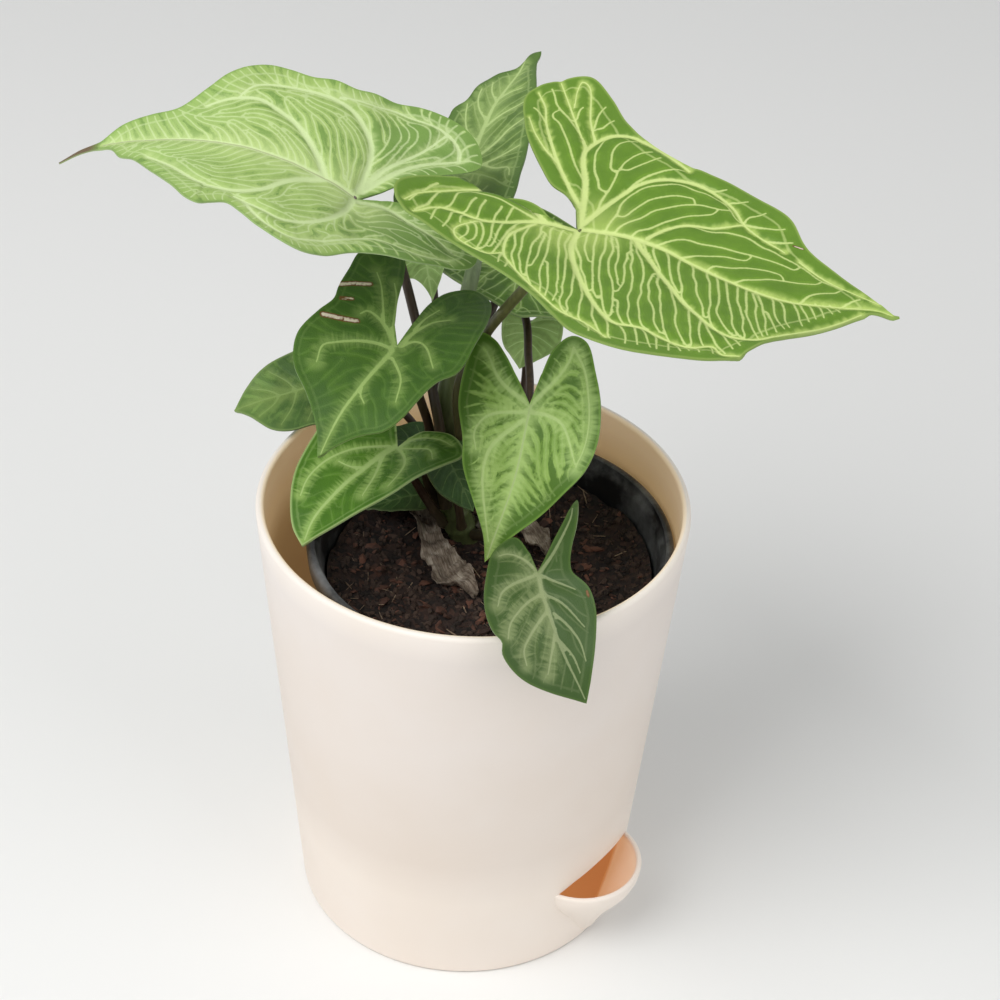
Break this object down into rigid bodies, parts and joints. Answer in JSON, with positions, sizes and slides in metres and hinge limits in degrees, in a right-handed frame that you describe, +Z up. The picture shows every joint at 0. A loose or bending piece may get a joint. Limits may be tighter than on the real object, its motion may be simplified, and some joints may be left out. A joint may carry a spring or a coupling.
{
  "type": "potted arrowhead plant",
  "caption": "Arrowhead plant with arrow-shaped, pale-veined leaves on thin stalks, in a black nursery pot inside a cream tapered self-watering pot with a water scoop near its foot.",
  "frame": {"origin": "middle of the cream pot's flat underside", "axes": "+Z up; -Y is the front, from where the leaves are best seen; the water scoop points to the front right, 37 degrees from +X towards -Y"},
  "size_m": [0.2119, 0.1814, 0.2477],
  "materials": {
    "outer_pot": "cream moulded plastic, satin, very slightly see-through",
    "water_tray": "cream moulded plastic, matte",
    "nursery_pot": "thin black moulded plastic, dusty satin",
    "potting_soil": "dark damp potting soil with bark bits and fibres",
    "main_stem": "green-brown stem, smooth",
    "leaf_upper_left": "living leaf, soft sheen, pale veins",
    "leaf_upper_right": "living leaf, soft sheen, pale veins",
    "leaf_upper_back": "living leaf, soft sheen, pale veins",
    "leaf_middle_left": "living leaf, soft sheen, pale veins",
    "leaf_front_middle": "living leaf, soft sheen, pale veins",
    "leaf_lower_left": "living leaf, soft sheen, pale veins",
    "leaf_front_low": "living leaf, soft sheen, pale veins",
    "leaf_far_left": "living leaf, soft sheen, pale veins",
    "leaf_small_right": "living leaf, soft sheen, pale veins",
    "leaf_under_right": "living leaf, soft sheen, pale veins",
    "leaf_small_back": "living leaf, soft sheen, pale veins",
    "leaf_inner_front": "living leaf, soft sheen, pale veins",
    "leaf_inner_left": "living leaf, soft sheen, pale veins",
    "leaf_inner_back": "living leaf, soft sheen, pale veins",
    "stalk_brown": "brown-purple leaf stalk, smooth",
    "stalk_pale": "grey-green leaf stalk, smooth",
    "withered_leaf": "dry grey-brown leaf, dull"
  },
  "bodies": {
    "root": {"outer_pot": "outer_pot", "water_tray": "water_tray", "nursery_pot": "nursery_pot", "potting_soil": "potting_soil", "main_stem": "main_stem", "leaf_upper_left": "leaf_upper_left", "stalk_upper_left": "stalk_brown", "leaf_upper_right": "leaf_upper_right", "stalk_upper_right": "stalk_brown", "leaf_upper_back": "leaf_upper_back", "stalk_upper_back": "stalk_pale", "leaf_middle_left": "leaf_middle_left", "stalk_middle_left": "stalk_brown", "leaf_front_middle": "leaf_front_middle", "stalk_front_middle": "stalk_brown", "leaf_lower_left": "leaf_lower_left", "stalk_lower_left": "stalk_brown", "leaf_front_low": "leaf_front_low", "stalk_front_low": "stalk_brown", "leaf_far_left": "leaf_far_left", "stalk_far_left": "stalk_brown", "leaf_small_right": "leaf_small_right", "stalk_small_right": "stalk_brown", "leaf_under_right": "leaf_under_right", "stalk_under_right": "stalk_brown", "leaf_small_back": "leaf_small_back", "stalk_small_back": "stalk_brown", "leaf_inner_front": "leaf_inner_front", "stalk_inner_front": "stalk_brown", "leaf_inner_left": "leaf_inner_left", "stalk_inner_left": "stalk_brown", "leaf_inner_back": "leaf_inner_back", "stalk_inner_back": "stalk_brown", "withered_leaf_long": "withered_leaf", "withered_leaf_short": "withered_leaf"}
  },
  "joints": []
}
